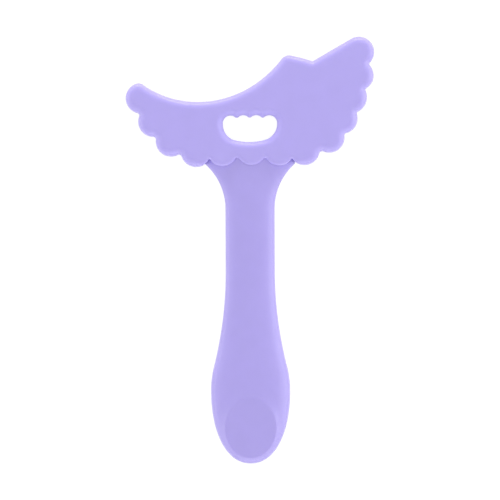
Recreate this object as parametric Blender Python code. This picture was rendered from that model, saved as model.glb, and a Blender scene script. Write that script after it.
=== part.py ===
"""Mascara shield: a winged silicone blade on a flat-backed handle with a thumb dish.

The tool lies on its back. X runs across it, Y from the grip up to the wing and Z out of its front.
The origin lies on the resting surface under the middle of the tool's length and width. Both pieces
are drawn from the joint line, the level of the blade's lowest scallop, where Y is zero.
"""
import math

import bmesh
import bpy
import numpy as np
from mathutils import Vector
from mathutils.geometry import delaunay_2d_cdt, interpolate_bezier

# Whole tool
SEAT_CLEARANCE = 0.0003
CUT_OVERRUN = 0.002

# Blade
BLADE_WIDTH = 0.0583
BLADE_HEIGHT = 0.0306
BLADE_THICKNESS = 0.0036
NOTCH_RADIUS = 0.0005
PEAK_RADIUS = 0.0008
VALLEY_RADIUS = 0.0009
HEEL_RADIUS = 0.0020
RIM_WIDTH = 0.0024
RIM_DROP = 0.0015
BACK_EDGE_RADIUS = 0.0005

# The rim over the handle's neck is crisper, and fades into the softer rim on both sides of it
LAP_RIM_WIDTH = 0.0012
LAP_RIM_DROP = 0.0005
LAP_FADE_LENGTH = 0.0020
LAP_HEIGHT_share = 0.33

# Corners of the scalloped edge, clockwise from the wing tip: place across the half width from the
# handle's axis, place up the blade's height, and the swell of the lobe that leads to the corner
# as a share of that lobe's chord
SCALLOP_shares = (
    (0.956, 0.789, 0.46),
    (0.926, 0.597, 0.28),
    (0.857, 0.419, 0.24),
    (0.759, 0.257, 0.26),
    (0.563, 0.136, 0.36),
    (0.338, 0.066, 0.37),
    (0.122, 0.079, 0.30),
    (-0.102, 0.087, 0.32),
    (-0.324, 0.064, 0.32),
    (-0.555, 0.111, 0.37),
    (-0.750, 0.239, 0.38),
    (-0.877, 0.415, 0.34),
)

# Upper edge, in the same places: heel of the eye curve, the curve's two handles, peak, valley and
# wing tip
HEEL_share = (-0.877, 0.650)
HEEL_SWELL_share = 0.49
EYE_CURVE_shares = ((-0.54, 0.405), (-0.015, 0.460))
PEAK_share = (0.286, 0.855)
FALL_SWELL_share = 0.02
VALLEY_share = (0.508, 0.812)
RISE_SWELL_share = 0.002
WING_TIP_share = (0.821, 0.985)

# Slot through the blade
SLOT_WIDTH = 0.0127
SLOT_HEIGHT = 0.0063
SLOT_RISE = 0.0059
TOOTH_RADIUS = 0.0006

# Corners of the slot, clockwise from its left end, across its half width and up its height, each
# with the swell of the stretch that leads to it. The teeth hang from the slot's upper edge.
SLOT_LEFT_share = (-0.99, 0.67)
SLOT_TOOTH_shares = (
    (-0.475, 0.86, 0.40),
    (0.0, 0.86, 0.30),
    (0.475, 0.86, 0.30),
)
SLOT_SMOOTH_shares = (
    (1.01, 0.67, 0.40),
    (0.54, 0.080, 0.17),
    (-0.52, 0.065, 0.06),
    (-0.99, 0.67, 0.18),
)

# Handle, from its top: tongue in the blade's recess, flared neck, shaft, swell, and rounded grip
TONGUE_WIDTH = 0.0208
TONGUE_TO_SLOT = 0.0018
TONGUE_THICKNESS = 0.0016
TONGUE_CORNER_RADIUS = 0.0018
TONGUE_SIDE_LENGTH = 0.0016
NECK_THICKNESS = 0.0031
FLARE_RADIUS = 0.0142
SHAFT_WIDTH = 0.01144
SHAFT_LENGTH = 0.01456
SHAFT_THICKNESS = 0.0036
SWELL_LENGTH = 0.0283
SWELL_SPLIT_share = 0.75
GRIP_WIDTH = 0.0184
GRIP_THICKNESS = 0.0048
GRIP_END_LENGTH = 0.0167
HANDLE_BACK_RADIUS = 0.0006

# Powers of the rounded shapes: 2 is an ellipse, and a higher power is squarer
SHAFT_CROWN_POWER = 3.0
GRIP_CROWN_POWER = 4.0
GRIP_END_POWER = 2.1
GRIP_TOP_POWER = 5.0

# Thumb dish in the grip
DISH_LENGTH = 0.0148
DISH_WIDTH = 0.0118
DISH_DEPTH = 0.0005
DISH_TO_END = 0.0082

# Facets of the drawn shapes. A section's points gather at its sides, where its power is under 1.
STEP_TURN = math.radians(16)
SHARP_TURN = math.radians(40)
CURVE_STEPS = 20
CORNER_STEPS = 3
RIM_STEPS = 3
BACK_STEPS = 2
SECTION_STEPS = 18
END_STEPS = 8
SECTION_SPREAD_POWER = 0.8

# Shares that keep small facets apart: of a step, of a ring's inset, of the rim's width, and of a
# mitre's length
SHORT_STEP_share = 0.35
RING_INSET_share = 0.98
RING_SPREAD_share = 0.125
SAME_POINT_share = 0.000001
MITRE_share = 0.5

# Colours of the two silicones, linear red, green and blue
BLADE_COLOUR = (0.479, 0.418, 0.880, 1.0)
HANDLE_COLOUR = (0.445, 0.386, 0.838, 1.0)
SILICONE_ROUGHNESS = 0.55

# Levels along the handle, down from the tongue's top to the grip's end
TONGUE_TOP = SLOT_RISE - TONGUE_TO_SLOT
FLARE_TOP = TONGUE_TOP - TONGUE_CORNER_RADIUS - TONGUE_SIDE_LENGTH
FLARE_TURN = math.acos(1 - (TONGUE_WIDTH - SHAFT_WIDTH) / 2 / FLARE_RADIUS)
SHAFT_TOP = FLARE_TOP - FLARE_RADIUS * math.sin(FLARE_TURN)
SWELL_TOP = SHAFT_TOP - SHAFT_LENGTH
GRIP_LEVEL = SWELL_TOP - SWELL_LENGTH
HANDLE_END = GRIP_LEVEL - GRIP_END_LENGTH
JOINT_TO_MIDDLE = -(BLADE_HEIGHT + HANDLE_END) / 2


def clear_scene():
    """Removes the objects that the file opened with."""
    for item in list(bpy.data.objects):
        bpy.data.objects.remove(item, do_unlink=True)


def blend(low, high, share):
    """Value between two others, with a soft start and a soft end."""
    share = min(max(share, 0.0), 1.0)
    return low + (high - low) * share * share * (3 - 2 * share)


def blade_place(share):
    """Point of the blade at a place given across its half width and up its height."""
    return Vector((share[0] * BLADE_WIDTH / 2, share[1] * BLADE_HEIGHT))


def slot_place(share):
    """Point of the slot at a place given across its half width and up its height."""
    return Vector((share[0] * SLOT_WIDTH / 2, SLOT_RISE + share[1] * SLOT_HEIGHT))


def arc(start, end, swell_share):
    """Points of a circular arc that swells to the left of the way from start to end."""
    chord = end - start
    turn = 4 * math.atan(2 * swell_share)
    steps = max(2, math.ceil(turn / STEP_TURN))
    radius = chord.length / (2 * math.sin(turn / 2))
    side = Vector((-chord.y, chord.x)).normalized()
    centre = (start + end) / 2 - side * radius * math.cos(turn / 2)
    first = start - centre
    points = [start]
    for i in range(1, steps):
        cosine, sine = math.cos(turn * i / steps), math.sin(turn * i / steps)
        turned = Vector((first.x * cosine + first.y * sine, first.y * cosine - first.x * sine))
        points.append(centre + turned)
    return points + [end]


def curve(start, start_handle, end_handle, end):
    """Points of one smooth curve with a handle at each end."""
    corners = [point.to_3d() for point in (start, start_handle, end_handle, end)]
    return [point.to_2d() for point in interpolate_bezier(*corners, CURVE_STEPS + 1)]


def trimmed(points, length):
    """The points without the given length at their end, and without a short step left there."""
    points = list(points)
    while len(points) > 2 and length >= (points[-1] - points[-2]).length:
        length -= (points[-1] - points[-2]).length
        points.pop()
    last = points[-1] - points[-2]
    kept_share = max(1 - length / last.length, 0)
    points[-1] = points[-2] + last * kept_share
    if len(points) > 2 and kept_share < SHORT_STEP_share:
        del points[-2]
    return points


def rounded_corner(start, corner, end, turn):
    """Points of the round between two trimmed stretches, from its start up to its end."""
    points = []
    for k in range(CORNER_STEPS + 1):
        share = k / (CORNER_STEPS + 1)
        weights = ((1 - share) ** 2, 2 * share * (1 - share) * math.cos(turn / 2), share ** 2)
        drawn = start * weights[0] + corner * weights[1] + end * weights[2]
        points.append(drawn / sum(weights))
    return points


def closed_outline(stretches):
    """One closed outline of stretches, each a list of points and the radius of the corner after it."""
    bodies = [points for points, radius in stretches]
    corners = [points[-1] for points in bodies]
    turns = []
    for i, (points, radius) in enumerate(stretches):
        follower = (i + 1) % len(stretches)
        arriving = bodies[i][-1] - bodies[i][-2]
        leaving = bodies[follower][1] - bodies[follower][0]
        turns.append(arriving.angle(leaving) if radius > 0 else 0)
        if turns[i] > 0:
            reach = radius * math.tan(turns[i] / 2)
            bodies[i] = trimmed(bodies[i], reach)
            bodies[follower] = trimmed(bodies[follower][::-1], reach)[::-1]
    outline = []
    for i, points in enumerate(bodies):
        outline += points[:-1]
        if turns[i] > 0:
            outline += rounded_corner(points[-1], corners[i], bodies[(i + 1) % len(bodies)][0], turns[i])
    return outline


def blade_outline():
    """Closed outline of the blade, clockwise seen from the front, from the wing tip's lobe."""
    stretches = []
    here = blade_place(WING_TIP_share)
    for x_share, y_share, swell_share in SCALLOP_shares:
        corner = blade_place((x_share, y_share))
        stretches.append((arc(here, corner, swell_share), NOTCH_RADIUS))
        here = corner
    heel, peak, valley = blade_place(HEEL_share), blade_place(PEAK_share), blade_place(VALLEY_share)
    handles = [blade_place(share) for share in EYE_CURVE_shares]
    stretches.append((arc(here, heel, HEEL_SWELL_share), HEEL_RADIUS))
    stretches.append((curve(heel, *handles, peak), PEAK_RADIUS))
    stretches.append((arc(peak, valley, FALL_SWELL_share), VALLEY_RADIUS))
    stretches.append((arc(valley, blade_place(WING_TIP_share), RISE_SWELL_share), 0))
    return closed_outline(stretches)


def slot_outline():
    """Closed outline of the slot, clockwise seen from the front, from its left end."""
    stretches = []
    here = slot_place(SLOT_LEFT_share)
    for radius, shares in ((TOOTH_RADIUS, SLOT_TOOTH_shares), (0, SLOT_SMOOTH_shares)):
        for x_share, y_share, swell_share in shares:
            corner = slot_place((x_share, y_share))
            stretches.append((arc(here, corner, swell_share), radius))
            here = corner
    return closed_outline(stretches)


def widened(outline, distance):
    """The clockwise outline with each point moved outwards, or inwards where the distance is negative."""
    moved = []
    for i, point in enumerate(outline):
        before = (point - outline[i - 1]).normalized()
        after = (outline[(i + 1) % len(outline)] - point).normalized()
        way = (before + after).normalized()
        moved.append(point + Vector((-way.y, way.x)) * distance / max(way.dot(after), MITRE_share))
    return moved


def nearest(points, outline):
    """For each point, its distance to the outline and the outline's nearest place."""
    starts = np.array([tuple(point) for point in outline])
    ways = np.roll(starts, -1, axis=0) - starts
    lengths = (ways ** 2).sum(axis=1)
    distances, places = [], []
    for point in points:
        share = np.clip(((np.array(tuple(point)) - starts) * ways).sum(axis=1) / lengths, 0, 1)
        found = starts + share[:, None] * ways
        gap = np.hypot(found[:, 0] - point[0], found[:, 1] - point[1])
        distances.append(float(gap.min()))
        places.append(found[gap.argmin()])
    return distances, places


def inside(point, outline):
    """Whether a point lies within a closed outline."""
    crossings = 0
    for i, corner in enumerate(outline):
        before = outline[i - 1]
        if (corner.y > point.y) != (before.y > point.y):
            across = corner.x + (point.y - corner.y) * (before.x - corner.x) / (before.y - corner.y)
            crossings += across > point.x
    return crossings % 2 == 1


def lap_share(place):
    """How far a place on the blade's edge belongs to the stretch that lies over the neck."""
    beyond = abs(place[0]) - TONGUE_WIDTH / 2 - SEAT_CLEARANCE
    low = place[1] < BLADE_HEIGHT * LAP_HEIGHT_share
    return blend(1, 0, beyond / LAP_FADE_LENGTH) if low else 0.0


def rim_size(place):
    """Width and drop of the front rim at a place on the blade's edge."""
    share = lap_share(place)
    width = RIM_WIDTH + (LAP_RIM_WIDTH - RIM_WIDTH) * share
    drop = RIM_DROP + (LAP_RIM_DROP - RIM_DROP) * share
    return width, drop


def round_drop(distance, width, drop):
    """How far an elliptical rim lies under the flat face, at a distance in from its edge."""
    share = 1 - min(distance / width, 1)
    return drop * (1 - math.sqrt(1 - share * share))


def front_heights(points, edge, slot):
    """Heights of the blade's front face at the given points."""
    edge_distances, edge_places = nearest(points, edge)
    slot_distances, slot_places = nearest(points, slot)
    heights = []
    for k in range(len(points)):
        width, drop = rim_size(edge_places[k])
        fall = round_drop(edge_distances[k], width, drop)
        fall += round_drop(slot_distances[k], RIM_WIDTH, RIM_DROP)
        heights.append(BLADE_THICKNESS - fall)
    return heights


def back_heights(points, edge, slot):
    """Heights of the blade's back face at the given points."""
    edge_distances = nearest(points, edge)[0]
    slot_distances = nearest(points, slot)[0]
    gaps = [min(pair) for pair in zip(edge_distances, slot_distances)]
    return [round_drop(gap, BACK_EDGE_RADIUS, BACK_EDGE_RADIUS) for gap in gaps]


def ring_points(outline, side, steps, size_at):
    """Points on rings that follow the outline, spaced as a rounded rim turns from its edge to the flat."""
    rings = []
    for step in range(1, steps + 1):
        turn_share = 1 - math.cos(math.pi / 2 * step / steps)
        for i, point in enumerate(outline):
            way = outline[(i + 1) % len(outline)] - outline[i - 1]
            normal = Vector((-way.y, way.x)).normalized() * side
            distance = size_at(point) * turn_share
            moved = point + normal * distance
            spread = min(((moved - other).length for other in rings[-len(outline):]), default=distance)
            apart = spread > RIM_WIDTH * RING_SPREAD_share
            if apart and nearest([moved], outline)[0][0] > distance * RING_INSET_share:
                rings.append(moved)
    return rings


def face_mesh(mesh, loops, rings, heights_of, upwards):
    """Adds one face of the blade to the mesh, and gives the vertices on its loops."""
    outline_points = [point for loop in loops for point in loop]
    points = outline_points + rings
    edges = []
    start = 0
    for loop in loops:
        edges += [(start + i, start + (i + 1) % len(loop)) for i in range(len(loop))]
        start += len(loop)
    same_point = RIM_WIDTH * SAME_POINT_share
    places, _, triangles, sources, _, _ = delaunay_2d_cdt(points, edges, [], 0, same_point)
    heights = heights_of(places, *loops)
    vertices = [mesh.verts.new((place.x, place.y, height)) for place, height in zip(places, heights)]
    for triangle in triangles:
        middle = sum((places[i] for i in triangle), Vector((0, 0))) / 3
        if inside(middle, loops[0]) and not inside(middle, loops[1]):
            corners = [vertices[i] for i in triangle]
            mesh.faces.new(corners if upwards else corners[::-1])
    by_source = {source: vertices[i] for i, found in enumerate(sources) for source in found}
    return [by_source[i] for i in range(len(outline_points))]


def new_object(name, mesh, parent, material=None):
    """Turns a mesh under construction into an object of the scene."""
    data = bpy.data.meshes.new(name)
    mesh.to_mesh(data)
    mesh.free()
    item = bpy.data.objects.new(name, data)
    bpy.context.scene.collection.objects.link(item)
    item.parent = parent
    if material:
        data.materials.append(material)
        data.shade_smooth()
        data.set_sharp_from_angle(angle=SHARP_TURN)
    return item


def prism(name, outline, low, high, parent):
    """A guide solid with straight walls over a clockwise outline, for cutting."""
    mesh = bmesh.new()
    bottom = [mesh.verts.new((point.x, point.y, low)) for point in outline]
    top = [mesh.verts.new((point.x, point.y, high)) for point in outline]
    mesh.faces.new(bottom)
    mesh.faces.new(top[::-1])
    for i in range(len(outline)):
        mesh.faces.new((bottom[i - 1], top[i - 1], top[i], bottom[i]))
    bmesh.ops.recalc_face_normals(mesh, faces=mesh.faces)
    item = new_object(name, mesh, parent)
    item.hide_render = True
    item.display_type = "WIRE"
    return item


def cut(item, cutter):
    """Cuts the guide solid out of the piece."""
    modifier = item.modifiers.new(cutter.name, "BOOLEAN")
    modifier.operation = "DIFFERENCE"
    modifier.object = cutter


def silicone(name, colour):
    """Matt silicone of one colour."""
    material = bpy.data.materials.new(name)
    material.use_nodes = True
    shader = material.node_tree.nodes["Principled BSDF"]
    shader.inputs["Base Color"].default_value = colour
    shader.inputs["Roughness"].default_value = SILICONE_ROUGHNESS
    shader.inputs["Metallic"].default_value = 0.0
    material.diffuse_color = colour
    return material


def make_blade(parent):
    """The winged blade: a flat plate with a soft front rim, pierced by the slot."""
    edge, slot = blade_outline(), slot_outline()
    loops = (edge, slot)
    mesh = bmesh.new()
    front_rings = ring_points(edge, -1, RIM_STEPS, lambda point: rim_size(point)[0])
    front_rings += ring_points(slot, 1, RIM_STEPS, lambda point: RIM_WIDTH)
    back_rings = ring_points(edge, -1, BACK_STEPS, lambda point: BACK_EDGE_RADIUS)
    back_rings += ring_points(slot, 1, BACK_STEPS, lambda point: BACK_EDGE_RADIUS)
    front = face_mesh(mesh, loops, front_rings, front_heights, True)
    back = face_mesh(mesh, loops, back_rings, back_heights, False)
    start = 0
    for loop in loops:
        for i in range(len(loop)):
            here, before = start + i, start + (i - 1) % len(loop)
            mesh.faces.new((front[before], front[here], back[here], back[before]))
        start += len(loop)
    bmesh.ops.recalc_face_normals(mesh, faces=mesh.faces)
    return new_object("shield_blade", mesh, parent, silicone("blade_silicone", BLADE_COLOUR))


def swell(share):
    """Rise of the grip from the shaft: one slow bend outwards, then a shorter one back."""
    if share < SWELL_SPLIT_share:
        return share * share / SWELL_SPLIT_share
    return 1 - (1 - share) ** 2 / (1 - SWELL_SPLIT_share)


def swell_share(level):
    """How far a level lies along the stretch that widens from the shaft to the grip."""
    return min(max((SWELL_TOP - level) / SWELL_LENGTH, 0), 1)


def stations():
    """Places along the handle, from the tongue's top to the grip's end, each with its half width."""
    tongue, shaft, grip = TONGUE_WIDTH / 2, SHAFT_WIDTH / 2, GRIP_WIDTH / 2
    places = []
    for step in range(CORNER_STEPS + 1):
        angle = math.pi / 2 * step / CORNER_STEPS
        level = TONGUE_TOP - TONGUE_CORNER_RADIUS * (1 - math.cos(angle))
        places.append((level, tongue - TONGUE_CORNER_RADIUS * (1 - math.sin(angle))))
    steps = math.ceil(FLARE_TURN / STEP_TURN) * 2
    for step in range(steps, -1, -1):
        angle = FLARE_TURN * step / steps
        level = SHAFT_TOP + FLARE_RADIUS * math.sin(angle)
        places.append((level, shaft + FLARE_RADIUS * (1 - math.cos(angle))))
    for step in range(CURVE_STEPS + 1):
        share = step / CURVE_STEPS
        places.append((SWELL_TOP - SWELL_LENGTH * share, shaft + (grip - shaft) * swell(share)))
    for step in range(1, END_STEPS + 1):
        share = math.sin(math.pi / 2 * step / END_STEPS)
        width = grip * (1 - share ** GRIP_END_POWER) ** (1 / GRIP_END_POWER)
        places.append((GRIP_LEVEL - GRIP_END_LENGTH * share, width))
    return places


def handle_outline():
    """Closed outline of the handle, clockwise seen from the front."""
    places = stations()[:-1]
    right = [Vector((width, level)) for level, width in places]
    left = [Vector((-width, level)) for level, width in reversed(places)]
    return right + [Vector((0, HANDLE_END))] + left


def crown_height(level):
    """Height of the handle's front over its back, along its middle."""
    neck = blend(SHAFT_THICKNESS, NECK_THICKNESS, (level - SHAFT_TOP) / (FLARE_TOP - SHAFT_TOP))
    return neck + (GRIP_THICKNESS - SHAFT_THICKNESS) * swell(swell_share(level))


def dish_depth(x, level):
    """Depth of the thumb dish under the grip's front."""
    across = x / (DISH_WIDTH / 2)
    along = (level - HANDLE_END - DISH_TO_END) / (DISH_LENGTH / 2)
    return DISH_DEPTH * max(1 - across * across - along * along, 0)


def section(level, half_width):
    """One closed loop around the handle: over its crown, and back along its flat underside."""
    side = HANDLE_BACK_RADIUS
    end_share = min(max((GRIP_LEVEL - level) / GRIP_END_LENGTH, 0), 1)
    crown = (crown_height(level) - side) * (1 - end_share ** GRIP_TOP_POWER) ** (1 / GRIP_TOP_POWER)
    power = SHAFT_CROWN_POWER + (GRIP_CROWN_POWER - SHAFT_CROWN_POWER) * swell_share(level)
    lift = min(max((side - level + HANDLE_END) / side, 0), 1)
    under = side * math.sqrt(1 - lift * lift)
    loop = []
    for step in range(SECTION_STEPS + 1):
        angle = math.pi * step / SECTION_STEPS
        x_share = math.copysign(abs(math.cos(angle)) ** SECTION_SPREAD_POWER, math.cos(angle))
        height = side + crown * max(1 - abs(x_share) ** power, 0) ** (1 / power)
        x = half_width * x_share
        loop.append(Vector((x, level, height - dish_depth(x, level))))
    corner = min(side, half_width / 2)
    for direction in (-1, 1):
        for step in range(1, BACK_STEPS + 1):
            turned = step if direction < 0 else BACK_STEPS + 1 - step
            angle = math.pi / 2 * turned / BACK_STEPS
            x = direction * (half_width - corner * (1 - math.cos(angle)))
            loop.append(Vector((x, level, side - under * math.sin(angle))))
    return loop


def make_handle(parent):
    """The handle: tongue, flared neck, shaft and grip in one length of firmer silicone."""
    mesh = bmesh.new()
    places = stations()
    loops = [[mesh.verts.new(point) for point in section(*place)] for place in places[:-1]]
    tip = mesh.verts.new((0, HANDLE_END, HANDLE_BACK_RADIUS))
    mesh.faces.new(loops[0])
    for upper, lower in zip(loops, loops[1:]):
        for i in range(len(upper)):
            mesh.faces.new((upper[i - 1], upper[i], lower[i], lower[i - 1]))
    for i in range(len(loops[-1])):
        mesh.faces.new((loops[-1][i - 1], loops[-1][i], tip))
    bmesh.ops.recalc_face_normals(mesh, faces=mesh.faces)
    return new_object("handle", mesh, parent, silicone("handle_silicone", HANDLE_COLOUR))


def make_tool():
    """Builds both pieces and seats the tongue under the blade's scallops."""
    clear_scene()
    joint_line = bpy.data.objects.new("joint_line", None)
    bpy.context.scene.collection.objects.link(joint_line)
    joint_line.location = (0, JOINT_TO_MIDDLE, 0)
    blade = make_blade(joint_line)
    handle = make_handle(joint_line)
    recess_top = TONGUE_THICKNESS + SEAT_CLEARANCE
    tongue = widened(handle_outline(), SEAT_CLEARANCE)
    recess = prism("recess_cutter", tongue, -CUT_OVERRUN, recess_top, joint_line)
    scallops = widened(blade_outline(), SEAT_CLEARANCE)
    rebate_top = GRIP_THICKNESS + CUT_OVERRUN
    rebate = prism("rebate_cutter", scallops, TONGUE_THICKNESS, rebate_top, joint_line)
    cut(blade, recess)
    cut(handle, rebate)


make_tool()
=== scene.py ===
import math

import bmesh
import bpy
import numpy as np
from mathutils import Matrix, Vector
from mathutils.geometry import delaunay_2d_cdt, interpolate_bezier


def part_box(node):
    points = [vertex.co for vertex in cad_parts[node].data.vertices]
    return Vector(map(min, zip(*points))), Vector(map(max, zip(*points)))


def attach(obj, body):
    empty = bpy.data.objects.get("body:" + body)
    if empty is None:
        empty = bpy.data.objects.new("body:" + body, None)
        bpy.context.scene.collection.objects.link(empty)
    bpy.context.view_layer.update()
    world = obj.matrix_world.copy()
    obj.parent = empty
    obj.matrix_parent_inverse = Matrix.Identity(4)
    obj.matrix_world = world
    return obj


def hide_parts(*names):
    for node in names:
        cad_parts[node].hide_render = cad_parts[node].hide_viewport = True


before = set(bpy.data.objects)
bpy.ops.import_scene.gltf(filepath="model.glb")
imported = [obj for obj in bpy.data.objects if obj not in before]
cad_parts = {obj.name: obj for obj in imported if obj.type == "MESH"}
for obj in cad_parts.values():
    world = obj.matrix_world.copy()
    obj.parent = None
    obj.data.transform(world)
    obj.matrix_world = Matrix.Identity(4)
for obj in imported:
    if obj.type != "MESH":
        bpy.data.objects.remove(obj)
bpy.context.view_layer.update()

BLADE_LOW, BLADE_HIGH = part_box("shield_blade")
HANDLE_LOW, HANDLE_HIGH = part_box("handle")

# Blade: its outline is drawn at these sizes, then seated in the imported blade's box. Its front rim
# is rounded, and the slot's rim is a bevel with a soft shoulder.
BLADE_WIDTH = 0.0583
BLADE_HEIGHT = 0.0306
BLADE_THICKNESS = BLADE_HIGH.z
NOTCH_RADIUS = 0.0005
PEAK_RADIUS = 0.0022
VALLEY_RADIUS = 0.0009
HEEL_RADIUS = 0.0020
RIM_WIDTH = 0.0019
RIM_DROP = 0.0017
SLOT_RIM_WIDTH = 0.0016
SLOT_BEVEL_WIDTH = 0.0006
SLOT_BEVEL_SLOPE = 0.87
BACK_EDGE_RADIUS = 0.0005

# The rim over the handle's neck is crisper, and fades into the softer rim on both sides of it. The
# notches over the neck are sharper than the others, and those over its shoulders are the sharpest.
MIDDLE_NOTCH_RADIUS = 0.00035
MIDDLE_NOTCH_share = 0.2
SHOULDER_NOTCH_RADIUS = 0.0002
SHOULDER_NOTCH_share = 0.4
LAP_RIM_WIDTH = 0.0011
LAP_RIM_DROP = 0.0006
LAP_FADE_LENGTH = 0.0020
LAP_HEIGHT_share = 0.33

# Corners of the scalloped edge, clockwise from the wing tip: place across the half width from the
# handle's axis, place up the blade's height, and the swell of the lobe that leads to the corner
# as a share of that lobe's chord
SCALLOP_shares = (
    (0.956, 0.789, 0.46),
    (0.926, 0.597, 0.28),
    (0.857, 0.419, 0.24),
    (0.759, 0.257, 0.26),
    (0.563, 0.136, 0.36),
    (0.338, 0.066, 0.37),
    (0.122, 0.079, 0.30),
    (-0.102, 0.087, 0.32),
    (-0.324, 0.064, 0.32),
    (-0.555, 0.111, 0.37),
    (-0.750, 0.239, 0.38),
    (-0.877, 0.415, 0.34),
)

# Upper edge, in the same places: heel of the eye curve, the curve's two handles, peak, valley and
# wing tip
HEEL_share = (-0.877, 0.650)
HEEL_SWELL_share = 0.49
EYE_CURVE_shares = ((-0.54, 0.405), (-0.015, 0.460))
PEAK_share = (0.285, 0.865)
FALL_SWELL_share = 0.02
VALLEY_share = (0.508, 0.812)
RISE_SWELL_share = 0.002
WING_TIP_share = (0.821, 0.985)

# Slot through the blade
SLOT_WIDTH = 0.0127
SLOT_HEIGHT = 0.0063
SLOT_RISE = 0.0059
TOOTH_RADIUS = 0.0004

# Corners of the slot, clockwise from its left end, across its half width and up its height, each
# with the swell of the stretch that leads to it. The teeth hang from the slot's upper edge.
SLOT_LEFT_share = (-0.99, 0.67)
SLOT_TOOTH_shares = (
    (-0.475, 0.86, 0.40),
    (0.0, 0.86, 0.30),
    (0.475, 0.86, 0.30),
)
SLOT_SMOOTH_shares = (
    (1.01, 0.67, 0.40),
    (0.54, 0.080, 0.17),
    (-0.52, 0.065, 0.06),
    (-0.99, 0.67, 0.18),
)

# Handle, from its top: tongue in the blade's recess, flared neck, shaft, swell, and rounded grip
NECK_SPREAD = 0.0003
TONGUE_WIDTH = HANDLE_HIGH.x - HANDLE_LOW.x + NECK_SPREAD
TONGUE_REACH = 0.0041
TONGUE_THICKNESS = 0.0016
TONGUE_CORNER_RADIUS = 0.0018
TONGUE_SIDE_LENGTH = 0.00147
NECK_THICKNESS = 0.0031
FLARE_RADIUS = 0.0142
SHAFT_WIDTH = 0.01154
SHAFT_LENGTH = 0.01456
SHAFT_THICKNESS = 0.0034
SWELL_SPLIT_share = 0.80
GRIP_WIDTH = 0.01857
GRIP_THICKNESS = HANDLE_HIGH.z
GRIP_END_LENGTH = 0.0172
HANDLE_BACK_RADIUS = 0.0006
RECESS_CLEARANCE = 0.0003
RECESS_SIDE_CLEARANCE = 0.00008
LAP_CLEARANCE = 0.00001

# Powers of the rounded shapes: 2 is an ellipse, and a higher power is squarer
NECK_CROWN_POWER = 2.0
SHAFT_CROWN_POWER = 2.15
GRIP_CROWN_POWER = 2.3
GRIP_END_POWER = 2.17
GRIP_TOP_POWER = 2.4

# Thumb dish: an oval floor that sinks towards the grip's end. Its edge stands a little proud of the
# crown, which rises to it over a longer way above the dish than beside it.
DISH_LENGTH = 0.0141
DISH_WIDTH = 0.0119
DISH_TO_END = 0.0014
DISH_RISE = 0.0003
DISH_SLOPE = 0.17
DISH_END_SLOPE = 0.13
DISH_EDGE_SOFTNESS = 0.00002
DISH_CORE_share = 0.5
BORDER_WIDTH = 0.0016
BORDER_TOP_WIDTH = 0.0045
BORDER_TOP_POWER = 4

# Mould marks: the parting line stands proud of the blade's walls by this much, at this height,
# where the handle's crown starts too
PARTING_RIDGE = 0.00005
PARTING_HEIGHT = 0.0008

# Fineness of the surfaces
STEP_TURN = math.radians(3)
SHARP_TURN = math.radians(50)
CURVE_STEPS = 170
CORNER_STEPS = 10
RIM_STEPS = 16
RIM_RINGS = 8
BACK_STEPS = 5
GRID_STEP = 0.00032
OUTLINE_STEP = GRID_STEP * 0.7
BACK_GRID_STEP = 0.0012
FRONT_KEEP_OUT = 0.0007
SECTION_STEPS = 96
FLARE_STEPS = 40
SWELL_STEPS = 80
END_STEPS = 120
END_SPREAD_POWER = 1.6
SECTION_SPREAD_POWER = 0.8
SHORT_STEP_share = 0.35
RING_INSET_share = 0.98
RING_SPREAD_share = 0.03
SAME_POINT_share = 0.000001
MITRE_share = 0.5
CHUNK = 2000

# Colours, linear red, green and blue, and for white alpha
WHITE = (1, 1, 1, 1)
BLADE_COLOUR = (0.456, 0.388, 0.900)
HANDLE_COLOUR = (0.421, 0.355, 0.845)

# Silicone: faint clouds of lighter and deeper colour, an uneven gloss, a satin coat, a fine grain,
# and a little sheen and depth
CLOUD_DARK = 0.985
CLOUD_LIGHT = 1.015
CLOUD_SIZE = 0.004
CLOUD_DETAIL = 3
GLOSS_SIZE = 0.0012
GLOSS_DETAIL = 4
ROUGH_LOW = 0.45
ROUGH_HIGH = 0.55
COAT_WEIGHT = 1.0
COAT_ROUGH_LOW = 0.28
COAT_ROUGH_HIGH = 0.32
GRAIN_SIZE = 0.00025
GRAIN_DETAIL = 2
GRAIN_HEIGHT = 0.00002
GRAIN_STRENGTH = 0.12
NOISE_LOW = 0.3
NOISE_HIGH = 0.7
SILICONE_IOR = 1.5
SHEEN_WEIGHT = 0.25
SHEEN_ROUGHNESS = 0.4
DEPTH_WEIGHT = 0.12
DEPTH_RADII = (1.0, 0.8, 1.0)
DEPTH_SCALE = 0.0006

# Light: the room's radiance, and two rings of soft panels round the tool, low and high. Each panel
# has its degrees round from the right, over the back, and its radiance, where 1 is white.
AMBIENT = 0.742
PANEL_DISTANCE = 0.8
LOW_ELEVATION = math.radians(8)
LOW_SIZE = (0.62, 0.16)
LOW_PANELS = (
    (0, 2.2),
    (45, 2.7),
    (90, 6.0),
    (135, 2.4),
    (180, 2.0),
    (225, 1.0),
    (270, 2.3),
    (315, 1.2),
)
HIGH_ELEVATION = math.radians(30)
HIGH_SIZE = (0.54, 0.3)
HIGH_PANELS = ((0, 1.2), (180, 0.3), (270, 0.9))
FLOOR_REACH = 2.0
FLOOR_WHITE = 0.95
FLOOR_GLOW = 1.15
GLOW_SHARE = 0.8

# Camera: straight above, turned a little as the photographed tool leans. The picture's span is
# measured at the height of the plane, and the sensor's width is in millimetres.
CAMERA_DISTANCE = 1.0
CAMERA_PLANE = 0.0016
CAMERA_TURN = math.radians(-0.186)
CAMERA_CENTRE = (-0.00004, 0.00004)
FRAME_SPAN = 0.11709
SENSOR_WIDTH = 36.0

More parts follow.
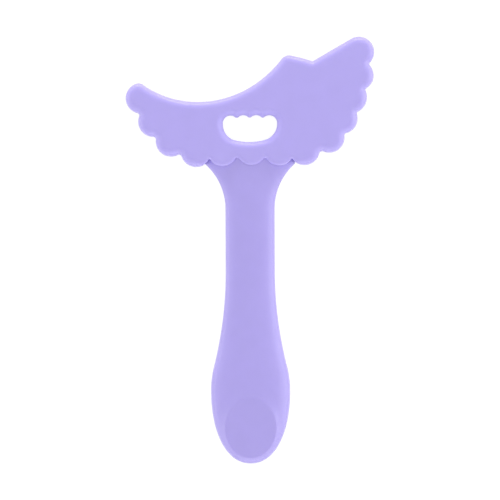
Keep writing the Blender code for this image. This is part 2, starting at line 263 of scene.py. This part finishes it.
# Levels along the handle, down from the tongue's top to the grip's end
TONGUE_TOP = HANDLE_HIGH.y
JOINT_LINE = TONGUE_TOP - TONGUE_REACH
FLARE_TOP = TONGUE_TOP - TONGUE_CORNER_RADIUS - TONGUE_SIDE_LENGTH
FLARE_TURN = math.acos(1 - (TONGUE_WIDTH - SHAFT_WIDTH) / 2 / FLARE_RADIUS)
SHAFT_TOP = FLARE_TOP - FLARE_RADIUS * math.sin(FLARE_TURN)
SWELL_TOP = SHAFT_TOP - SHAFT_LENGTH
HANDLE_END = HANDLE_LOW.y
GRIP_LEVEL = HANDLE_END + GRIP_END_LENGTH
SWELL_LENGTH = SWELL_TOP - GRIP_LEVEL
DISH_TOP = HANDLE_END + DISH_TO_END + DISH_LENGTH
DISH_MIDDLE = DISH_TOP - DISH_LENGTH / 2


def blend(low, high, share):
    """Value between two others, with a soft start and a soft end."""
    share = min(max(share, 0.0), 1.0)
    return low + (high - low) * share * share * (3 - 2 * share)


def make_camera():
    """Camera that looks straight down on the tool, framed as in the photograph."""
    data = bpy.data.cameras.new("camera")
    data.sensor_width = SENSOR_WIDTH
    data.lens = SENSOR_WIDTH * CAMERA_DISTANCE / FRAME_SPAN
    camera = bpy.data.objects.new("camera", data)
    bpy.context.scene.collection.objects.link(camera)
    camera.location = (*CAMERA_CENTRE, CAMERA_PLANE + CAMERA_DISTANCE)
    camera.rotation_euler = (0, 0, CAMERA_TURN)
    bpy.context.scene.camera = camera


def blade_place(share):
    """Point of the blade at a place given across its half width and up its height."""
    return Vector((share[0] * BLADE_WIDTH / 2, share[1] * BLADE_HEIGHT))


def slot_place(share):
    """Point of the slot at a place given across its half width and up its height."""
    return Vector((share[0] * SLOT_WIDTH / 2, SLOT_RISE + share[1] * SLOT_HEIGHT))


def arc(start, end, swell_share):
    """Points of a circular arc that swells to the left of the way from start to end."""
    chord = end - start
    turn = 4 * math.atan(2 * swell_share)
    steps = max(2, math.ceil(turn / STEP_TURN))
    radius = chord.length / (2 * math.sin(turn / 2))
    side = Vector((-chord.y, chord.x)).normalized()
    centre = (start + end) / 2 - side * radius * math.cos(turn / 2)
    first = start - centre
    points = [start]
    for i in range(1, steps):
        cosine, sine = math.cos(turn * i / steps), math.sin(turn * i / steps)
        turned = Vector((first.x * cosine + first.y * sine, first.y * cosine - first.x * sine))
        points.append(centre + turned)
    return points + [end]


def curve(start, start_handle, end_handle, end):
    """Points of one smooth curve with a handle at each end."""
    corners = [point.to_3d() for point in (start, start_handle, end_handle, end)]
    return [point.to_2d() for point in interpolate_bezier(*corners, CURVE_STEPS + 1)]


def trimmed(points, length):
    """The points without the given length at their end, and without a short step left there."""
    points = list(points)
    while len(points) > 2 and length >= (points[-1] - points[-2]).length:
        length -= (points[-1] - points[-2]).length
        points.pop()
    last = points[-1] - points[-2]
    kept_share = max(1 - length / last.length, 0)
    points[-1] = points[-2] + last * kept_share
    if len(points) > 2 and kept_share < SHORT_STEP_share:
        del points[-2]
    return points


def rounded_corner(start, corner, end, turn):
    """Points of the round between two trimmed stretches, from its start up to its end."""
    points = []
    for k in range(CORNER_STEPS + 1):
        share = k / (CORNER_STEPS + 1)
        weights = ((1 - share) ** 2, 2 * share * (1 - share) * math.cos(turn / 2), share ** 2)
        drawn = start * weights[0] + corner * weights[1] + end * weights[2]
        points.append(drawn / sum(weights))
    return points


def closed_outline(stretches):
    """One closed outline of stretches, each given as its points and the radius at its end."""
    bodies = [points for points, radius in stretches]
    corners = [points[-1] for points in bodies]
    turns = []
    for i, (points, radius) in enumerate(stretches):
        follower = (i + 1) % len(stretches)
        arriving = bodies[i][-1] - bodies[i][-2]
        leaving = bodies[follower][1] - bodies[follower][0]
        turns.append(arriving.angle(leaving) if radius > 0 else 0)
        if turns[i] > 0:
            reach = radius * math.tan(turns[i] / 2)
            bodies[i] = trimmed(bodies[i], reach)
            bodies[follower] = trimmed(bodies[follower][::-1], reach)[::-1]
    outline = []
    for i, points in enumerate(bodies):
        outline += points[:-1]
        if turns[i] > 0:
            follower = bodies[(i + 1) % len(bodies)]
            outline += rounded_corner(points[-1], corners[i], follower[0], turns[i])
    return outline


def notch_radius(x_share):
    """Radius in a notch of the scalloped edge, by its place across the half width."""
    if x_share < MIDDLE_NOTCH_share:
        return MIDDLE_NOTCH_RADIUS
    return SHOULDER_NOTCH_RADIUS if x_share < SHOULDER_NOTCH_share else NOTCH_RADIUS


def blade_outline():
    """Closed outline of the blade, clockwise seen from the front, from the wing tip's lobe."""
    stretches = []
    here = blade_place(WING_TIP_share)
    for x_share, y_share, swell_share in SCALLOP_shares:
        corner = blade_place((x_share, y_share))
        stretches.append((arc(here, corner, swell_share), notch_radius(abs(x_share))))
        here = corner
    heel, peak, valley = blade_place(HEEL_share), blade_place(PEAK_share), blade_place(VALLEY_share)
    handles = [blade_place(share) for share in EYE_CURVE_shares]
    stretches.append((arc(here, heel, HEEL_SWELL_share), HEEL_RADIUS))
    stretches.append((curve(heel, *handles, peak), PEAK_RADIUS))
    stretches.append((arc(peak, valley, FALL_SWELL_share), VALLEY_RADIUS))
    stretches.append((arc(valley, blade_place(WING_TIP_share), RISE_SWELL_share), 0))
    return closed_outline(stretches)


def slot_outline():
    """Closed outline of the slot, clockwise seen from the front, from its left end."""
    stretches = []
    here = slot_place(SLOT_LEFT_share)
    for radius, shares in ((TOOTH_RADIUS, SLOT_TOOTH_shares), (0, SLOT_SMOOTH_shares)):
        for x_share, y_share, swell_share in shares:
            corner = slot_place((x_share, y_share))
            stretches.append((arc(here, corner, swell_share), radius))
            here = corner
    return closed_outline(stretches)


def spaced(outline, step):
    """The outline with long steps split, so that no step is much longer than the given one."""
    points = []
    for i, point in enumerate(outline):
        way = point - outline[i - 1]
        count = max(1, round(way.length / step))
        points += [outline[i - 1] + way * k / count for k in range(count)]
    return points


def outline_box(outline):
    """Lowest and highest place of the outline on each axis."""
    return [[end(point[axis] for point in outline) for axis in (0, 1)] for end in (min, max)]


def seated(outlines):
    """The outlines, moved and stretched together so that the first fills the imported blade's box."""
    low, high = outline_box(outlines[0])
    scale = [(BLADE_HIGH[axis] - BLADE_LOW[axis]) / (high[axis] - low[axis]) for axis in (0, 1)]
    return [
        [
            Vector([BLADE_LOW[axis] + (point[axis] - low[axis]) * scale[axis] for axis in (0, 1)])
            for point in outline
        ]
        for outline in outlines
    ]


def widened(outline, distance):
    """The clockwise outline moved outwards, or inwards where the distance is negative."""
    moved = []
    for i, point in enumerate(outline):
        before = (point - outline[i - 1]).normalized()
        after = (outline[(i + 1) % len(outline)] - point).normalized()
        way = (before + after).normalized()
        moved.append(point + Vector((-way.y, way.x)) * distance / max(way.dot(after), MITRE_share))
    return moved


def pairs(points):
    """The points as rows of two numbers."""
    return np.array([tuple(point) for point in points]).reshape(-1, 2)


def nearest(points, outline):
    """For each point, its distance to the outline and the outline's nearest place."""
    starts = pairs(outline)
    ways = np.roll(starts, -1, axis=0) - starts
    lengths = (ways ** 2).sum(axis=1)
    asked = pairs(points)
    distances, places = [], []
    for first in range(0, len(asked), CHUNK):
        some = asked[first:first + CHUNK, None, :]
        share = np.clip(((some - starts) * ways).sum(axis=2) / lengths, 0, 1)
        found = starts + share[:, :, None] * ways
        gaps = np.hypot(*np.moveaxis(found - some, 2, 0))
        closest = gaps.argmin(axis=1)
        rows = np.arange(len(closest))
        distances.append(gaps[rows, closest])
        places.append(found[rows, closest])
    return np.concatenate(distances), np.concatenate(places)


def inside(points, outline):
    """Whether each point lies within a closed outline."""
    asked = pairs(points)
    within = np.zeros(len(asked), bool)
    for i, corner in enumerate(outline):
        before = outline[i - 1]
        if corner.y != before.y:
            crossed = (corner.y > asked[:, 1]) != (before.y > asked[:, 1])
            slant = (before.x - corner.x) / (before.y - corner.y)
            within ^= crossed & (corner.x + (asked[:, 1] - corner.y) * slant > asked[:, 0])
    return within


def lap_shares(places):
    """How far places on the blade's edge belong to the stretch that lies over the neck."""
    beyond = (np.abs(places[:, 0]) - TONGUE_WIDTH / 2 - RECESS_CLEARANCE) / LAP_FADE_LENGTH
    shares = np.array([blend(1, 0, value) for value in beyond])
    low = places[:, 1] < JOINT_LINE + BLADE_HEIGHT * LAP_HEIGHT_share
    return np.where(low, shares, 0)


def round_drop(distances, width, drop):
    """How far an elliptical rim lies under the flat face, at distances in from its edge."""
    shares = 1 - np.minimum(distances / width, 1)
    return drop * (1 - np.sqrt(1 - shares * shares))


def slot_drop(distances):
    """How far the slot's rim, a bevel with a soft shoulder, lies under the flat face."""
    bevel = np.maximum(SLOT_BEVEL_WIDTH - distances, 0)
    shoulder_width = SLOT_RIM_WIDTH - SLOT_BEVEL_WIDTH
    shoulder = np.clip(SLOT_RIM_WIDTH - distances, 0, shoulder_width)
    return SLOT_BEVEL_SLOPE * (bevel + shoulder * shoulder / shoulder_width / 2)


def front_heights(points, edge, slot):
    """Heights of the blade's front face at the given points."""
    edge_distances, edge_places = nearest(points, edge)
    slot_distances = nearest(points, slot)[0]
    lap = lap_shares(edge_places)
    widths = RIM_WIDTH + (LAP_RIM_WIDTH - RIM_WIDTH) * lap
    drops = RIM_DROP + (LAP_RIM_DROP - RIM_DROP) * lap
    edge_falls = round_drop(edge_distances, widths, drops)
    return BLADE_THICKNESS - edge_falls - slot_drop(slot_distances)


def back_heights(points, edge, slot):
    """Heights of the blade's back face at the given points."""
    gaps = np.minimum(nearest(points, edge)[0], nearest(points, slot)[0])
    return round_drop(gaps, BACK_EDGE_RADIUS, BACK_EDGE_RADIUS)


def rings(outline, side, width, steps, count):
    """Points on rings that follow the outline, spaced as a rounded rim turns from its edge."""
    points = []
    for step in range(1, count + 1):
        distance = width * (1 - math.cos(math.pi / 2 * step / steps))
        ring = widened(outline, side * distance)
        clear = nearest(ring, outline)[0] > distance * RING_INSET_share
        kept = [point for point, good in zip(ring, clear) if good]
        spread = [(point - kept[i - 1]).length for i, point in enumerate(kept)]
        points += [point for point, gap in zip(kept, spread) if gap > width * RING_SPREAD_share]
    return points


def grid(edge, slot, step, margin):
    """Points of an even triangular grid over the blade, kept off both of its edges by a margin."""
    low, high = outline_box(edge)
    row_step = step * math.sin(math.pi / 3)
    points = []
    for row in range(math.ceil((high[1] - low[1]) / row_step)):
        shift = step / 2 if row % 2 else 0
        columns = np.arange(low[0] + shift, high[0], step)
        points.append(np.stack([columns, np.full(len(columns), low[1] + row * row_step)], axis=1))
    points = np.concatenate(points)
    points = points[inside(points, edge) & ~inside(points, slot)]
    clear = np.minimum(nearest(points, edge)[0], nearest(points, slot)[0]) > margin
    return [Vector(point) for point in points[clear]]


def loop_sizes(loops):
    """First place and length of each loop in a list that holds them one after the other."""
    sizes = []
    start = 0
    for loop in loops:
        sizes.append((start, len(loop)))
        start += len(loop)
    return sizes


def face_mesh(mesh, loops, fill, heights_of, upwards):
    """Adds one face of the blade to the mesh, and gives the vertices on its loops."""
    outline_points = [point for loop in loops for point in loop]
    edges = []
    for start, count in loop_sizes(loops):
        edges += [(start + i, start + (i + 1) % count) for i in range(count)]
    same_point = RIM_WIDTH * SAME_POINT_share
    found = delaunay_2d_cdt(outline_points + fill, edges, [], 0, same_point)
    places, triangles, sources = found[0], found[2], found[3]
    heights = heights_of(places, *loops)
    vertices = [mesh.verts.new((*place, height)) for place, height in zip(places, heights)]
    middles = pairs(places)[np.array(triangles)].mean(axis=1)
    kept = inside(middles, loops[0]) & ~inside(middles, loops[1])
    for triangle, good in zip(triangles, kept):
        if good:
            corners = [vertices[i] for i in triangle]
            mesh.faces.new(corners if upwards else corners[::-1])
    by_source = {source: vertices[i] for i, group in enumerate(sources) for source in group}
    return [by_source[i] for i in range(len(outline_points))]


def join_rings(mesh, upper, lower, sizes):
    """Adds the band of faces between two rings of vertices, loop by loop."""
    for start, count in sizes:
        for i in range(count):
            here, before = start + i, start + (i - 1) % count
            mesh.faces.new((upper[before], upper[here], lower[here], lower[before]))


def new_object(name, mesh):
    """Turns a mesh under construction into an object of the scene."""
    data = bpy.data.meshes.new(name)
    mesh.to_mesh(data)
    mesh.free()
    item = bpy.data.objects.new(name, data)
    bpy.context.scene.collection.objects.link(item)
    return item


def prism(name, outline, low, high):
    """A solid with straight walls over a clockwise outline, for cutting."""
    mesh = bmesh.new()
    bottom = [mesh.verts.new((point.x, point.y, low)) for point in outline]
    top = [mesh.verts.new((point.x, point.y, high)) for point in outline]
    mesh.faces.new(bottom)
    mesh.faces.new(top[::-1])
    for i in range(len(outline)):
        mesh.faces.new((bottom[i - 1], top[i - 1], top[i], bottom[i]))
    bmesh.ops.recalc_face_normals(mesh, faces=mesh.faces)
    return new_object(name, mesh)


def cut(item, cutter):
    """Cuts the solid out of the piece, applies the cut and removes the solid."""
    modifier = item.modifiers.new(cutter.name, "BOOLEAN")
    modifier.operation = "DIFFERENCE"
    modifier.object = cutter
    evaluated = item.evaluated_get(bpy.context.evaluated_depsgraph_get())
    whole = item.data
    item.data = bpy.data.meshes.new_from_object(evaluated)
    item.data.name = whole.name
    item.modifiers.clear()
    bpy.data.meshes.remove(whole)
    bpy.data.objects.remove(cutter)


def make_blade(edge, slot):
    """The winged blade, without its recess: a flat plate with soft rims and a parting line."""
    ridge = (edge, slot)
    walls = (widened(edge, -PARTING_RIDGE), widened(slot, PARTING_RIDGE))
    sizes = loop_sizes(ridge)
    mesh = bmesh.new()
    front_fill = rings(walls[0], -1, RIM_WIDTH, RIM_STEPS, RIM_RINGS)
    front_fill += rings(walls[1], 1, SLOT_RIM_WIDTH, RIM_STEPS, RIM_RINGS)
    front_fill += grid(*walls, GRID_STEP, FRONT_KEEP_OUT)
    back_fill = rings(walls[0], -1, BACK_EDGE_RADIUS, BACK_STEPS, BACK_STEPS)
    back_fill += rings(walls[1], 1, BACK_EDGE_RADIUS, BACK_STEPS, BACK_STEPS)
    back_fill += grid(*walls, BACK_GRID_STEP, BACK_EDGE_RADIUS + BACK_GRID_STEP / 2)
    bands = [face_mesh(mesh, walls, front_fill, front_heights, True)]
    for loops, height in (
        (walls, PARTING_HEIGHT + PARTING_RIDGE),
        (ridge, PARTING_HEIGHT),
        (walls, PARTING_HEIGHT - PARTING_RIDGE),
    ):
        points = [point for loop in loops for point in loop]
        bands.append([mesh.verts.new((point.x, point.y, height)) for point in points])
    bands.append(face_mesh(mesh, walls, back_fill, back_heights, False))
    for upper, lower in zip(bands, bands[1:]):
        join_rings(mesh, upper, lower, sizes)
    bmesh.ops.recalc_face_normals(mesh, faces=mesh.faces)
    return new_object("blade", mesh)


def swell(share):
    """Rise of the grip from the shaft: one slow bend outwards, then a shorter one back."""
    if share < SWELL_SPLIT_share:
        return share * share / SWELL_SPLIT_share
    return 1 - (1 - share) ** 2 / (1 - SWELL_SPLIT_share)


def swell_share(level):
    """How far a level lies along the stretch that widens from the shaft to the grip."""
    return min(max((SWELL_TOP - level) / SWELL_LENGTH, 0), 1)


def rounded(share, power):
    """Height of a unit curve at a share of its reach, by the curve's power."""
    return max(1 - share ** power, 0) ** (1 / power)


def stations():
    """Places along the handle, from the tongue's top to the grip's end, with their half widths."""
    tongue, shaft, grip = TONGUE_WIDTH / 2, SHAFT_WIDTH / 2, GRIP_WIDTH / 2
    places = []
    for step in range(CORNER_STEPS + 1):
        angle = math.pi / 2 * step / CORNER_STEPS
        level = TONGUE_TOP - TONGUE_CORNER_RADIUS * (1 - math.cos(angle))
        places.append((level, tongue - TONGUE_CORNER_RADIUS * (1 - math.sin(angle))))
    for step in range(FLARE_STEPS, -1, -1):
        angle = FLARE_TURN * step / FLARE_STEPS
        level = SHAFT_TOP + FLARE_RADIUS * math.sin(angle)
        places.append((level, shaft + FLARE_RADIUS * (1 - math.cos(angle))))
    for step in range(SWELL_STEPS + 1):
        share = step / SWELL_STEPS
        places.append((SWELL_TOP - SWELL_LENGTH * share, shaft + (grip - shaft) * swell(share)))
    for step in range(1, END_STEPS + 1):
        share = 1 - (1 - step / END_STEPS) ** END_SPREAD_POWER
        level = GRIP_LEVEL - GRIP_END_LENGTH * share
        places.append((level, grip * rounded(share, GRIP_END_POWER)))
    return places


def handle_outline():
    """Closed outline of the handle, clockwise seen from the front."""
    places = stations()[:-1]
    right = [Vector((width, level)) for level, width in places]
    left = [Vector((-width, level)) for level, width in reversed(places)]
    return right + [Vector((0, HANDLE_END))] + left


def neck_share(level):
    """How far a level lies up the flare, from the shaft to the blade."""
    return blend(0, 1, (level - SHAFT_TOP) / (FLARE_TOP - SHAFT_TOP))


def crown_height(level):
    """Height of the handle's front over its back, along its middle, without the dish."""
    neck = SHAFT_THICKNESS + (NECK_THICKNESS - SHAFT_THICKNESS) * neck_share(level)
    return neck + (GRIP_THICKNESS - DISH_RISE - SHAFT_THICKNESS) * swell(swell_share(level))


def end_share(level):
    """How far a level lies along the grip's rounded end."""
    return min(max((GRIP_LEVEL - level) / GRIP_END_LENGTH, 0), 1)


def dome_height(level, x_share):
    """Height of the handle's front, without the dish, at a share of its half width."""
    fall = rounded(end_share(level), GRIP_TOP_POWER)
    power = SHAFT_CROWN_POWER + (GRIP_CROWN_POWER - SHAFT_CROWN_POWER) * swell_share(level)
    power += (NECK_CROWN_POWER - SHAFT_CROWN_POWER) * neck_share(level)
    across = rounded(abs(x_share), power)
    return PARTING_HEIGHT + (crown_height(level) - PARTING_HEIGHT) * fall * across


def end_width(level):
    """Half width of the grip's rounded end at a level."""
    return GRIP_WIDTH / 2 * rounded(end_share(level), GRIP_END_POWER)


def dish_height(level):
    """Height of the dish's floor over the handle's back."""
    down = DISH_TOP - level
    slope = DISH_SLOPE + (DISH_END_SLOPE - DISH_SLOPE) * down / DISH_LENGTH / 2
    return dome_height(DISH_TOP, 0) + DISH_RISE - slope * down


def softly_lower(first, second, softness):
    """The lower of two heights, with a soft round where they meet."""
    spread = math.hypot(first - second, 2 * softness)
    return (first + second - spread) / 2


def front_height(level, half_width, x_share):
    """Height of the handle's front at a place, with the dish and the slopes that rise to it."""
    dome = dome_height(level, x_share)
    across = half_width * x_share / (DISH_WIDTH / 2)
    along = (level - DISH_MIDDLE) / (DISH_LENGTH / 2)
    reach = math.hypot(across, along)
    if reach < DISH_CORE_share:
        return dish_height(level)
    rim_level = DISH_MIDDLE + (level - DISH_MIDDLE) / reach
    rim_x_share = half_width * x_share / reach / end_width(rim_level)
    rise = dish_height(rim_level) - dome_height(rim_level, rim_x_share)
    upwards = max(along, 0) / reach
    width = BORDER_WIDTH + (BORDER_TOP_WIDTH - BORDER_WIDTH) * upwards ** BORDER_TOP_POWER
    beyond = (reach - 1) * DISH_WIDTH / 2 / width
    if beyond > 1:
        return dome
    outside = dome + rise * (1 - beyond) ** 2
    return softly_lower(outside, dish_height(level), DISH_EDGE_SOFTNESS)


def section(level, half_width):
    """One closed loop around the handle: over its crown, and back along its flat underside."""
    radius = HANDLE_BACK_RADIUS
    lift = min(max((radius - level + HANDLE_END) / radius, 0), 1)
    under = radius * math.sqrt(1 - lift * lift)
    loop = []
    for step in range(SECTION_STEPS + 1):
        angle = math.pi * step / SECTION_STEPS
        x_share = math.copysign(abs(math.cos(angle)) ** SECTION_SPREAD_POWER, math.cos(angle))
        loop.append(Vector((half_width * x_share, level, front_height(level, half_width, x_share))))
    corner = min(radius, half_width / 2)
    for direction in (-1, 1):
        for step in range(BACK_STEPS + 1):
            turned = step if direction < 0 else BACK_STEPS - step
            angle = math.pi / 2 * turned / BACK_STEPS
            x = direction * (half_width - corner * (1 - math.cos(angle)))
            loop.append(Vector((x, level, radius - under * math.sin(angle))))
    return loop


def make_handle():
    """The handle, still whole at the lap: tongue, flared neck, shaft and grip in one length."""
    mesh = bmesh.new()
    places = stations()
    loops = [[mesh.verts.new(point) for point in section(*place)] for place in places[:-1]]
    tip = mesh.verts.new((0, HANDLE_END, HANDLE_BACK_RADIUS))
    mesh.faces.new(loops[0])
    for upper, lower in zip(loops, loops[1:]):
        join_rings(mesh, upper, lower, [(0, len(upper))])
    for i in range(len(loops[-1])):
        mesh.faces.new((loops[-1][i - 1], loops[-1][i], tip))
    bmesh.ops.recalc_face_normals(mesh, faces=mesh.faces)
    return new_object("grip_handle", mesh)


def set_inputs(node, values):
    """Sets inputs of a node by their names."""
    for name, value in values.items():
        node.inputs[name].default_value = value


def noise(tree, place, size, detail):
    """Noise whose features are about as long as the given size."""
    node = tree.nodes.new("ShaderNodeTexNoise")
    set_inputs(node, {"Scale": 1 / size, "Detail": detail})
    tree.links.new(place.outputs["Object"], node.inputs["Vector"])
    return node.outputs["Fac"]


def ranged(tree, source, low, high):
    """A noise's value stretched over the given range."""
    node = tree.nodes.new("ShaderNodeMapRange")
    set_inputs(node, {"From Min": NOISE_LOW, "From Max": NOISE_HIGH, "To Min": low, "To Max": high})
    tree.links.new(source, node.inputs["Value"])
    return node.outputs["Result"]


def silicone(name, colour):
    """Matt silicone with faint clouding, an uneven gloss and a fine moulded grain."""
    material = bpy.data.materials.new(name)
    material.use_nodes = True
    tree = material.node_tree
    shader = tree.nodes["Principled BSDF"]
    place = tree.nodes.new("ShaderNodeTexCoord")
    tint = tree.nodes.new("ShaderNodeMix")
    tint.data_type = "RGBA"
    tint.inputs["A"].default_value = tuple(part * CLOUD_DARK for part in colour) + (1,)
    tint.inputs["B"].default_value = tuple(part * CLOUD_LIGHT for part in colour) + (1,)
    clouds = noise(tree, place, CLOUD_SIZE, CLOUD_DETAIL)
    tree.links.new(ranged(tree, clouds, 0, 1), tint.inputs["Factor"])
    tree.links.new(tint.outputs["Result"], shader.inputs["Base Color"])
    gloss = ranged(tree, noise(tree, place, GLOSS_SIZE, GLOSS_DETAIL), ROUGH_LOW, ROUGH_HIGH)
    tree.links.new(gloss, shader.inputs["Roughness"])
    coat_gloss = ranged(tree, clouds, COAT_ROUGH_LOW, COAT_ROUGH_HIGH)
    tree.links.new(coat_gloss, shader.inputs["Coat Roughness"])
    grain = tree.nodes.new("ShaderNodeBump")
    set_inputs(grain, {"Strength": GRAIN_STRENGTH, "Distance": GRAIN_HEIGHT})
    tree.links.new(noise(tree, place, GRAIN_SIZE, GRAIN_DETAIL), grain.inputs["Height"])
    tree.links.new(grain.outputs["Normal"], shader.inputs["Normal"])
    set_inputs(shader, {
        "Coat Weight": COAT_WEIGHT,
        "IOR": SILICONE_IOR,
        "Sheen Weight": SHEEN_WEIGHT,
        "Sheen Roughness": SHEEN_ROUGHNESS,
        "Subsurface Weight": DEPTH_WEIGHT,
        "Subsurface Radius": DEPTH_RADII,
        "Subsurface Scale": DEPTH_SCALE,
    })
    return material


def finish_piece(piece, node, material):
    """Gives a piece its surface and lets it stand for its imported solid."""
    piece.data.materials.clear()
    piece.data.materials.append(material)
    piece.data.shade_smooth()
    piece.data.set_sharp_from_angle(angle=SHARP_TURN)
    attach(piece, "root")
    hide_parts(node)


def make_tool():
    """Builds both pieces, cuts the recess and the lap, and finishes the pieces."""
    outlines = [spaced(outline, OUTLINE_STEP) for outline in (blade_outline(), slot_outline())]
    edge, slot = seated(outlines)
    blade, handle = make_blade(edge, slot), make_handle()
    overrun = BLADE_THICKNESS
    tongue = widened(handle_outline(), RECESS_SIDE_CLEARANCE)
    cut(blade, prism("recess", tongue, -overrun, TONGUE_THICKNESS + RECESS_CLEARANCE))
    scallops = widened(edge, LAP_CLEARANCE - PARTING_RIDGE)
    cut(handle, prism("rebate", scallops, TONGUE_THICKNESS, GRIP_THICKNESS + overrun))
    finish_piece(blade, "shield_blade", silicone("blade_silicone", BLADE_COLOUR))
    finish_piece(handle, "handle", silicone("handle_silicone", HANDLE_COLOUR))


def seen_rays(tree):
    """One for rays from the camera and for those that gloss or clear pieces send on, else zero."""
    rays = tree.nodes.new("ShaderNodeLightPath")
    value = rays.outputs["Is Camera Ray"]
    for name in ("Is Glossy Ray", "Is Transmission Ray"):
        larger = tree.nodes.new("ShaderNodeMath")
        larger.operation = "MAXIMUM"
        tree.links.new(value, larger.inputs[0])
        tree.links.new(rays.outputs[name], larger.inputs[1])
        value = larger.outputs["Value"]
    return value


def floor_white():
    """White floor that mostly glows for the camera, and keeps a faint shadow of the tool."""
    material = bpy.data.materials.new("floor_white")
    material.use_nodes = True
    tree = material.node_tree
    tree.nodes.remove(tree.nodes["Principled BSDF"])
    paint = tree.nodes.new("ShaderNodeBsdfDiffuse")
    paint.inputs["Color"].default_value = (FLOOR_WHITE, FLOOR_WHITE, FLOOR_WHITE, 1)
    glow = tree.nodes.new("ShaderNodeEmission")
    glow.inputs["Color"].default_value = WHITE
    glow.inputs["Strength"].default_value = FLOOR_GLOW
    share = tree.nodes.new("ShaderNodeMath")
    share.operation = "MULTIPLY"
    share.inputs[1].default_value = GLOW_SHARE
    tree.links.new(seen_rays(tree), share.inputs[0])
    mix = tree.nodes.new("ShaderNodeMixShader")
    tree.links.new(share.outputs["Value"], mix.inputs["Fac"])
    tree.links.new(paint.outputs["BSDF"], mix.inputs[1])
    tree.links.new(glow.outputs["Emission"], mix.inputs[2])
    tree.links.new(mix.outputs["Shader"], tree.nodes["Material Output"].inputs["Surface"])
    return material


def make_world():
    """White all round for the camera, and even light for the surfaces."""
    world = bpy.data.worlds.new("studio")
    bpy.context.scene.world = world
    world.use_nodes = True
    tree = world.node_tree
    seen = tree.nodes["Background"]
    seen.inputs["Color"].default_value = WHITE
    seen.inputs["Strength"].default_value = 1
    light = tree.nodes.new("ShaderNodeBackground")
    light.inputs["Color"].default_value = WHITE
    light.inputs["Strength"].default_value = AMBIENT
    mix = tree.nodes.new("ShaderNodeMixShader")
    tree.links.new(seen_rays(tree), mix.inputs["Fac"])
    tree.links.new(light.outputs["Background"], mix.inputs[1])
    tree.links.new(seen.outputs["Background"], mix.inputs[2])
    tree.links.new(mix.outputs["Shader"], tree.nodes["World Output"].inputs["Surface"])


def softbox(name, azimuth, elevation, width, height, radiance):
    """A soft panel that faces the tool from the given side and height."""
    data = bpy.data.lights.new(name, "AREA")
    data.shape = "RECTANGLE"
    data.size, data.size_y = width, height
    data.energy = radiance * math.pi * width * height
    panel = bpy.data.objects.new(name, data)
    bpy.context.scene.collection.objects.link(panel)
    level = math.cos(elevation)
    way = Vector((level * math.cos(azimuth), level * math.sin(azimuth), math.sin(elevation)))
    panel.location = way * PANEL_DISTANCE
    panel.rotation_euler = way.to_track_quat("Z", "Y").to_euler()
    panel.visible_camera = False


def make_stage():
    """White floor in an evenly lit room, with a low and a higher ring of panels round the tool."""
    mesh = bmesh.new()
    bmesh.ops.create_grid(mesh, x_segments=1, y_segments=1, size=FLOOR_REACH)
    floor = new_object("floor", mesh)
    floor.data.materials.append(floor_white())
    make_world()
    for ring, elevation, size, panels in (
        ("low", LOW_ELEVATION, LOW_SIZE, LOW_PANELS),
        ("high", HIGH_ELEVATION, HIGH_SIZE, HIGH_PANELS),
    ):
        for azimuth, radiance in panels:
            softbox(f"{ring}_{azimuth}", math.radians(azimuth), elevation, *size, radiance)


make_camera()
make_tool()
make_stage()
bpy.context.scene.view_settings.view_transform = "Standard"
